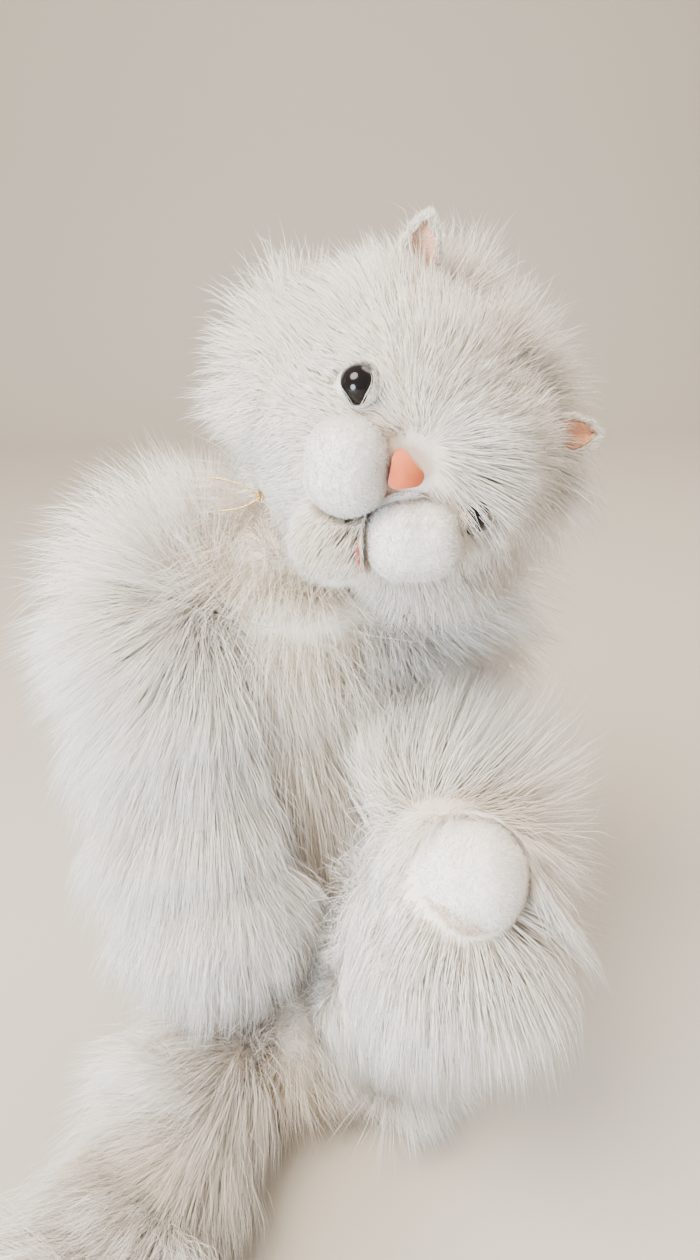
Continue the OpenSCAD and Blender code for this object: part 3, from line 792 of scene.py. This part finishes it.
# ---------------- stuffed skins
def skin(body, node, extra):
    """The fur fabric's backing of one form, stuffed by a cloth simulation."""
    # how far the start lies inside the form, its mesh size, the most it may swell, its unevenness in mm
    inset, voxel, swell, ripple = 1.2 * MM, 4 * MM, 1 * MM, 0.3
    parts = [rod_mesh(a, ra - inset, b, rb - inset) for a, ra, b, rb in FORMS[body]] + extra
    obj = remesh(joined(node.replace("pelt", "skin"), parts, SKIN), voxel)
    puff(obj, 2.0, swell)
    co = coords(obj.data)
    co += normals(obj.data) * (wave_field(co, SEED, 0.03)[:, :1] * ripple * MM)
    co[:, 2] = np.maximum(co[:, 2], 0.2 * MM)
    set_coords(obj.data, co)
    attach(obj, body)
    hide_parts(node)
    return obj


def lobe_mesh():
    """The crotch's flat round lobe between the legs."""
    profile = [(-12, 0), (-11, 16), (-7, 24), (0, 26.5), (7, 24), (11, 16), (12, 0)]
    return lathe([(a * MM, r * MM) for a, r in profile], LOBE, X)


SKINS = {body: skin(body, body + "_pelt", [lobe_mesh()] if body == "torso" else []) for body in FORMS}

# each form's style, number of hairs, how tightly they draw into locks, and material
STYLES = {
    # the torso's fur has the painted warm light and shade
    "torso": (torso_style, 28000, 0.35, PAINTED_WARM_LIGHT_FUR),
    "head": (head_style, 46000, 0.4, FUR),
    "right_arm": (arm_style(R_SHOULDER, R_PAW, unit(-X - 0.1 * Y)), 27000, 0.6, FUR),
    "left_arm": (arm_style(L_SHOULDER, L_PAW, unit(X + 0.1 * Y)), 14000, 0.6, FUR),
    "right_leg": (lying_leg_style(R_HIP, R_HEEL, R_SOLE), 26000, 0.6, FUR),
    "left_leg": (raised_leg_style(L_HIP, L_HEEL, L_TOE, L_SOLE, SOLES[1]), 30000, 0.6, FUR),
    "tail": (tail_style, 10000, 0.6, FUR),
}
for order, (body, (style, count, locks, mat)) in enumerate(STYLES.items()):
    fur(body, SKINS[body], count, style, locks, SEED + order, mat=mat)


# ---------------- short pile pads
def fuzz(name, obj, body, count, length, mat, seed, radius, keep=None):
    """A short dense pile that stands on a piece."""
    rng = np.random.default_rng(seed)
    points, nrm = surface_points(obj, int(count * FUR_SHARE), rng)
    if keep is not None:
        chosen = keep(points)
        points, nrm = points[chosen], nrm[chosen]
    sway = scatter = 0.35
    swirl = wave_field(points, seed, 0.012) * sway + rng.normal(size=points.shape) * scatter
    way = unit(nrm + swirl)
    size = length * rng.uniform(0.6, 1.2, len(points))[:, None]
    paths = np.stack([points - nrm * 0.2 * MM, points + way * size * 0.55,
                      points + unit(way + swirl * 0.7) * size], 1)
    paths[:, :, 2] = np.maximum(paths[:, :, 2], FLOOR_GAP)
    pile = hair_mesh(name, paths, radius * MM, HAIR_TIP, mat, rng)
    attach(pile, body)


def pad(name, node, body, ball, stretch_way, stretch, seed, pile, tall=1.5 * MM):
    """One puffy plush pad: a stuffed ball, drawn out a little one way, with a short pile on it."""
    inset, voxel, swell, ripple = 1.4 * MM, 1.6 * MM, 0.8 * MM, 0.35
    centre, radius = ball[0], ball[1] - inset
    far_centre = centre + unit(stretch_way) * stretch
    obj = joined(name, [rod_mesh(centre, radius, far_centre, radius)], PLUSH)
    remesh(obj, voxel, 2)
    puff(obj, 3.0, swell)
    co = coords(obj.data)
    co += normals(obj.data) * (wave_field(co, seed, 0.014)[:, :1] * ripple * MM)
    set_coords(obj.data, co)
    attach(obj, body)
    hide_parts(node)
    fuzz(name + "_pile", obj, body, pile, tall, FUZZ, seed, 0.07)
    return obj


for side, name, ball in ((-1, "right", PADS[0]), (1, "left", PADS[1])):
    pad(name + "_muzzle_puff", name + "_muzzle_pad", "head", ball,
        side * HEAD_X + HEAD_Z, 5 * MM, SEED + 20 + side, 14000)

chin_ball = (CHIN[0] + HEAD_Y * 1.5 * MM, 9 * MM)
chin = pad("chin_puff", "chin_pad", "head", chin_ball, HEAD_X, 2 * MM, SEED + 23, 2500, 3 * MM)
# the chin's fur has the painted warm light and shade too
fur("head", chin, 5000, chin_style, 0.4, SEED + 24, name="chin", mat=PAINTED_WARM_LIGHT_FUR)


def sole_edge(middle, facing):
    """Picks the points of a sole pad's lower edge, on the cat's right, where a peach pile paints the shade of
    the shadowed gap between pad and fur.
    """
    low, inner = unit(-0.62 * X - 0.78 * unit(Z - facing * facing[2])), 13.2 * MM
    return lambda points: (points - middle) @ low > inner


for name, ball, facing in (("right", SOLES[0], R_SOLE), ("left", SOLES[1], L_SOLE)):
    sole = pad(name + "_sole_puff", name + "_sole_pad", name + "_leg", ball, X, 0.5 * MM, SEED + 25, 13000)
    # a peach pile on the pad's lower edge, as painted shade of the gap under it
    fuzz(name + "_sole_painted_shade_pile", sole, name + "_leg", 14000, 2.2 * MM, PEACH_PAINTED_SHADE, SEED + 26,
         0.08, keep=sole_edge(ball[0], facing))


# ---------------- ears
def ear_shell(name, side, wide, high, front, thick, cup, mat, rise):
    """A cupped flap with a rounded tip: two sheets joined round the rim. Its sizes are in mm."""
    columns, rows = 12, 12
    sunk = 9                              # how far its root reaches into the head
    verts, faces = [], []
    for layer in (0, 1):
        for i in range(rows + 1):
            v = i / rows
            half = wide / 2 * (1 - max(0, (v - 0.25) / 0.75) ** 2.4) ** 0.5
            for j in range(columns + 1):
                u = 2 * j / columns - 1
                edge = 1 - abs(u) ** 3
                gap = thick * layer if 0 < i < rows else thick / 2
                depth = front - cup * u * u * (1 - 0.3 * v) + gap * edge
                verts.append(ear_point(side, u * half, depth, v * (high + sunk) - sunk + rise))
    size = columns + 1
    flat = (rows + 1) * size
    for i in range(rows):
        for j in range(columns):
            a = i * size + j
            faces.append((a, a + 1, a + size + 1, a + size))
            faces.append((flat + a, flat + a + size, flat + a + size + 1, flat + a + 1))
    obj = add_object(name, verts, faces, mat)
    bm = bmesh.new()
    bm.from_mesh(obj.data)
    bmesh.ops.remove_doubles(bm, verts=bm.verts, dist=0.02 * MM)
    bmesh.ops.holes_fill(bm, edges=[e for e in bm.edges if e.is_boundary])
    bmesh.ops.recalc_face_normals(bm, faces=bm.faces)
    bm.to_mesh(obj.data)
    bm.free()
    mod = obj.modifiers.new("round", "SUBSURF")
    mod.levels = mod.render_levels = 1
    return apply_modifiers(obj)


def ear_back_style(side):
    """Short fur on an ear's back, towards its tip."""
    tip_way = unit(ear_point(side, 0, 0, 10) - ear_point(side, 0, 0, 0))

    def style(points, nrm):
        facing = nrm @ -HEAD_Y
        flow = along_surface(tip_way - HEAD_Y * 0.1, nrm)
        keep = (facing < 0.2) & (np.linalg.norm(points - HEAD, axis=1) > HEAD_R)
        return flow, full(points, 5.5 * MM), full(points, 0.35), full(points, 0.1), keep
    return style


for side, name, rise in ((-1, "right", 2.5), (1, "left", 4.5)):
    back = ear_shell(name + "_ear_flap", side, 15, 18, 0.5, 2.4, 4.0, SKIN, rise)
    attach(back, "head")
    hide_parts(name + "_ear_back")
    fur("head", back, 6000, ear_back_style(side), 0.3, SEED + 30 + side, name=name + "_ear")
    lining = ear_shell(name + "_ear_inside", side, 11.5, 17.5, -0.4, 0.8, 2.6, LINING, rise)
    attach(lining, "head")
    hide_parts(name + "_ear_lining")
    fuzz(name + "_ear_inside_pile", lining, "head", 2500, 1.1 * MM, EAR_FUZZ, SEED + 33,
         0.07)


def eye_strands(name, side, eye):
    """Loose strands of the face's fur that cross the rims of an eye."""
    reach, dome = 7.2, 6.5                # a strand's root from the eye's middle, and the eye's radius, in mm
    rng = np.random.default_rng(SEED + 40)
    out = unit(eye - head_point(side * CHEEK, 0, 0))
    up = unit(Z - out * out[2])
    across = np.cross(up, out)
    count = int(130 * FUR_SHARE)
    flank = np.where(rng.random(count) < 0.5, 1, -1)[:, None]
    start = rng.uniform(-1.5, -0.7, count)[:, None]
    swing = rng.uniform(0.9, 1.8, count)[:, None]
    t = np.linspace(0, 1, HAIR_STEPS + 1)[None, :]
    angle = (start + swing * t)[:, :, None]
    far = reach - rng.uniform(0.4, 2.6, count)[:, None] * np.sin(math.pi * np.clip(t, 0, 0.6) / 1.2)
    ring = np.cos(angle) * across * flank[:, :, None] + np.sin(angle) * up
    above = np.sqrt(np.maximum(dome ** 2 - far ** 2, 0.09)) * MM
    paths = eye + far[:, :, None] * MM * ring + out * above[:, :, None]
    strands = hair_mesh(name, paths, 0.08 * MM, HAIR_TIP, FUR, rng)
    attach(strands, "head")


eye_strands("right_eye_strands", -1, EYES[0])
eye_strands("left_eye_strands", 1, EYES[1])


# ---------------- threads
def spline(points, spacing):
    """A smooth curve through points, with a point about every spacing."""
    points = np.asarray(points, float)
    fine = []
    ends = np.vstack([2 * points[0] - points[1], points, 2 * points[-1] - points[-2]])
    for i in range(1, len(ends) - 2):
        p0, p1, p2, p3 = ends[i - 1:i + 3]
        span = max(2, int(np.linalg.norm(p2 - p1) / spacing))
        square = 2 * p0 - 5 * p1 + 4 * p2 - p3
        cube = 3 * p1 - p0 - 3 * p2 + p3
        for t in np.arange(span) / span:
            fine.append(0.5 * (2 * p1 + (p2 - p0) * t + square * t * t + cube * t ** 3))
    return np.array(fine + [points[-1]])


def thread(name, points, radius, plies, lay, mat):
    """A twisted thread along smooth points: plies strands that wind round its middle line once each lay."""
    fine = spline(points, 0.35 * MM)
    gone = np.concatenate([[0], np.cumsum(np.linalg.norm(np.diff(fine, axis=0), axis=1))])
    way = unit(np.gradient(fine, axis=0))
    side = unit(np.cross(way, unit(np.array([0.3, 0.5, 0.8]))))
    other = np.cross(way, side)
    ply_r, around = radius * 0.62, 7      # a ply's radius and number of sides
    turns = 2 * math.pi * np.arange(around) / around
    parts = []
    for ply in range(plies):
        angle = gone / lay * 2 * math.pi + ply * 2 * math.pi / plies
        offset = (radius - ply_r) * (np.cos(angle)[:, None] * side + np.sin(angle)[:, None] * other)
        verts, faces = [], []
        for p, u, w in zip(fine + offset, side, other):
            verts += [p + ply_r * (math.cos(a) * u + math.sin(a) * w) for a in turns]
        rings = len(fine)
        for i in range(rings - 1):
            for k in range(around):
                n = (k + 1) % around
                faces.append((i * around + k, i * around + n, (i + 1) * around + n, (i + 1) * around + k))
        faces.append(tuple(range(around - 1, -1, -1)))
        faces.append(tuple((rings - 1) * around + k for k in range(around)))
        parts.append((verts, faces))
    return joined(name, parts, mat)


def merged(parts, name):
    """One object from several, which takes the first one's place."""
    first = parts[0]
    first.name = name
    bm = bmesh.new()
    for part in parts:
        bm.from_mesh(part.data)
    bm.to_mesh(first.data)
    bm.free()
    for part in parts[1:]:
        bpy.data.objects.remove(part)
    first.data.polygons.foreach_set("use_smooth", [True] * len(first.data.polygons))
    return first


def mouth():
    """Stitched mouth: a short curve under each pad, the right one sunk deep in the plush."""
    smile = [(2.6, -50, -30.2), (4.6, -50.3, -31.6), (6.6, -50, -33), (8.8, -49, -34), (11, -47.6, -34.8)]
    parts = []
    for side, sunk, reach in ((-1, 3.5, 3), (1, 0.4, 5)):
        curve = [head_point(side * x, y + sunk, z) + MUZZLE_SAG for x, y, z in smile[:reach]]
        parts.append(thread("mouth_side", curve, 0.5 * MM, 2, 2 * MM, MOUTH))
    first = merged(parts, "mouth_thread")
    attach(first, "head")
    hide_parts("mouth_stitch")


mouth()


def gold_tie():
    """Metallic thread tied round the neck: a loop under the fur, a knot on top of it, two short ends."""
    loop_r, loop_up = 21 * MM, 8          # as the CAD cord: its radius, and its mm above the neck's turn
    lean = math.atan2(29, 44)
    way = HEAD_TURN @ np.array([0, -math.sin(lean), math.cos(lean)])
    over = HEAD_TURN[:, 0]
    back = np.cross(way, over)
    knot_turn = math.radians(205)

    def around(angle):
        return NECK + way * loop_up * MM + loop_r * (math.cos(angle) * over + math.sin(angle) * back)

    def twist(a):
        return 1.1 * MM * np.array([math.cos(a) * 0.8, math.sin(2 * a) * 0.5, math.sin(a)])

    def gold(name, path, radius=0.4 * MM):
        return thread(name, path, radius, 3, 2.2 * MM, GOLD)

    root = around(knot_turn)
    lift = [root, root * 0.5 + KNOT * 0.5 + Z * 1 * MM, KNOT]
    parts = [gold("tie_loop", [around(knot_turn + a) for a in np.linspace(0, 2 * math.pi, 25)])]
    parts += [gold("tie_rise", [p + over * s * 0.5 * MM for p in lift]) for s in (-1, 1)]
    parts.append(gold("tie_knot", [KNOT + twist(a) for a in np.linspace(0, 2 * math.pi, 14)], 0.45 * MM))
    for end, sag in zip(TIE_ENDS, (1.6, -1.2)):
        third = KNOT * 0.66 + end * 0.34 + Z * sag * MM
        two_thirds = KNOT * 0.33 + end * 0.67 + Z * sag * 0.8 * MM
        parts.append(gold("tie_end", [KNOT, third, two_thirds, end]))
    tie = merged(parts, "gold_tie")
    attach(tie, "head")
    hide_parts("neck_cord")


gold_tie()


# ---------------- what is inside
SKIN_GAP = 3.2 * MM                       # from the form's outside to its filling
for body in FORMS:
    inner = [rod_mesh(a, ra - SKIN_GAP, b, rb - SKIN_GAP) for a, ra, b, rb in FORMS[body]]
    stuffing = remesh(joined(body + "_stuffing", inner, FILLING), 5 * MM, 2)
    co = coords(stuffing.data)
    co -= normals(stuffing.data) * (0.8 * MM + wave_field(co, SEED + 7, 0.018)[:, :1] * 0.8 * MM)
    co[:, 2] = np.maximum(co[:, 2], 2 * MM)
    set_coords(stuffing.data, co)
    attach(stuffing, body)
    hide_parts(body + "_filling")

bag_lo, bag_hi = (np.array(c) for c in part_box("pellet_bag"))
bag_mid, bag_half = (bag_lo + bag_hi) / 2, (bag_hi - bag_lo) / 2 - 0.8 * MM
bag_r = float(bag_half.min())
bag_ball = rod_mesh(bag_mid, bag_r, bag_mid + X * 0.2 * MM, bag_r)
bag = remesh(joined("pellet_pouch", [bag_ball], BAG), 2.5 * MM, 1)
bag_co = coords(bag.data)
bag_co = bag_mid + (bag_co - bag_mid) * bag_half / bag_r
bag_co += normals(bag.data) * wave_field(bag_co, SEED + 8, 0.006)[:, :1] * 0.4 * MM
set_coords(bag.data, bag_co)
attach(bag, "torso")
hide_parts("pellet_bag")

# ---------------- materials of the CAD parts that stay
LIMBS = ("right_arm", "left_arm", "right_leg", "left_leg")
FINISH = {
    BLACK: ("right_eye", "left_eye"),
    PINK: ("nose",),
    WHITE_PLASTIC: ("eye_lock_washers", "nose_lock_washer"),
    BOARD: ("torso_shoulder_discs", "torso_hip_discs", "torso_neck_disc", "head_neck_disc",
            *(limb + "_disc" for limb in LIMBS)),
    STEEL: ("torso_washers", "neck_eye_pin", "neck_washer", "head_neck_washer", "head_eye_pin",
            *(limb + end for end in ("_washer", "_cotter") for limb in LIMBS)),
    THREAD: ("back_seam",),
}
for mat, names in FINISH.items():
    for node in names:
        held = frame["nodes"][node].data
        held.materials.clear()
        held.materials.append(mat)


# ---------------- camera, floor, light
def add_camera():
    """Close, a little above, looking 25 degrees down, as a person holds a phone over a stool."""
    pitch, roll = math.radians(25.4), math.radians(-1.4)
    ahead = np.array([0, math.cos(pitch), -math.sin(pitch)])
    level = np.array([1.0, 0, 0])
    upright = np.cross(level, ahead)
    right = math.cos(roll) * level + math.sin(roll) * upright
    up = -math.sin(roll) * level + math.cos(roll) * upright
    data = bpy.data.cameras.new("camera")
    data.lens = 26
    data.sensor_width = 36
    data.clip_start = 0.01
    cam = bpy.data.objects.new("camera", data)
    bpy.context.scene.collection.objects.link(cam)
    place = Matrix((right, up, -ahead)).transposed().to_4x4()
    place.translation = Vector((0.028, -0.345, 0.373))
    cam.matrix_world = place
    bpy.context.scene.camera = cam


def add_stage():
    """A pale floor that bends up into a wall behind the cat."""
    mat, _, _, shader = material("pale_floor")
    shader.inputs["Base Color"].default_value = (0.58, 0.53, 0.46, 1)
    shader.inputs["Roughness"].default_value = 0.9
    verts, faces = [], []
    front, behind, bend, rise, half_width = -2.5, 1.2, 0.5, 2.5, 3
    outline = [(front, 0), (behind, 0)]
    for a in np.linspace(0.1, math.pi / 2, 10):
        outline.append((behind + bend * math.sin(a), bend * (1 - math.cos(a))))
    outline.append((behind + bend, rise))
    for y, z in outline:
        verts += [(-half_width, y, z), (half_width, y, z)]
    for i in range(len(outline) - 1):
        faces.append((2 * i, 2 * i + 1, 2 * i + 3, 2 * i + 2))
    floor = add_object("floor", verts, faces, mat)


def add_light(name, place, target, size, power, colour):
    """A round soft light at a place, aimed at a target."""
    data = bpy.data.lights.new(name, "AREA")
    data.shape = "DISK"
    data.size = size
    data.energy = power
    data.color = colour
    obj = bpy.data.objects.new(name, data)
    bpy.context.scene.collection.objects.link(obj)
    obj.location = place
    obj.rotation_euler = (Vector(target) - Vector(place)).to_track_quat("-Z", "Y").to_euler()


def add_lights():
    """Warm light from above, cool light low in front, and a warm surround."""
    add_light("key_light", (-0.5, -0.5, 1.25), (0, 0, 0.2), 0.8, 40, (1.0, 0.88, 0.74))
    add_light("top_light", (0.7, 0.5, 1.4), (0, 0, 0.2), 1.0, 22, (1.0, 0.92, 0.82))
    add_light("low_light", (-0.6, -0.9, 0.25), (0, -0.1, 0.08), 0.5, 24, (0.72, 0.86, 1.0))
    world = bpy.data.worlds.new("studio")
    world.use_nodes = True
    surround = world.node_tree.nodes["Background"].inputs
    surround["Color"].default_value = (1.0, 0.91, 0.80, 1)
    surround["Strength"].default_value = 0.66
    bpy.context.scene.world = world


add_camera()
add_stage()
add_lights()
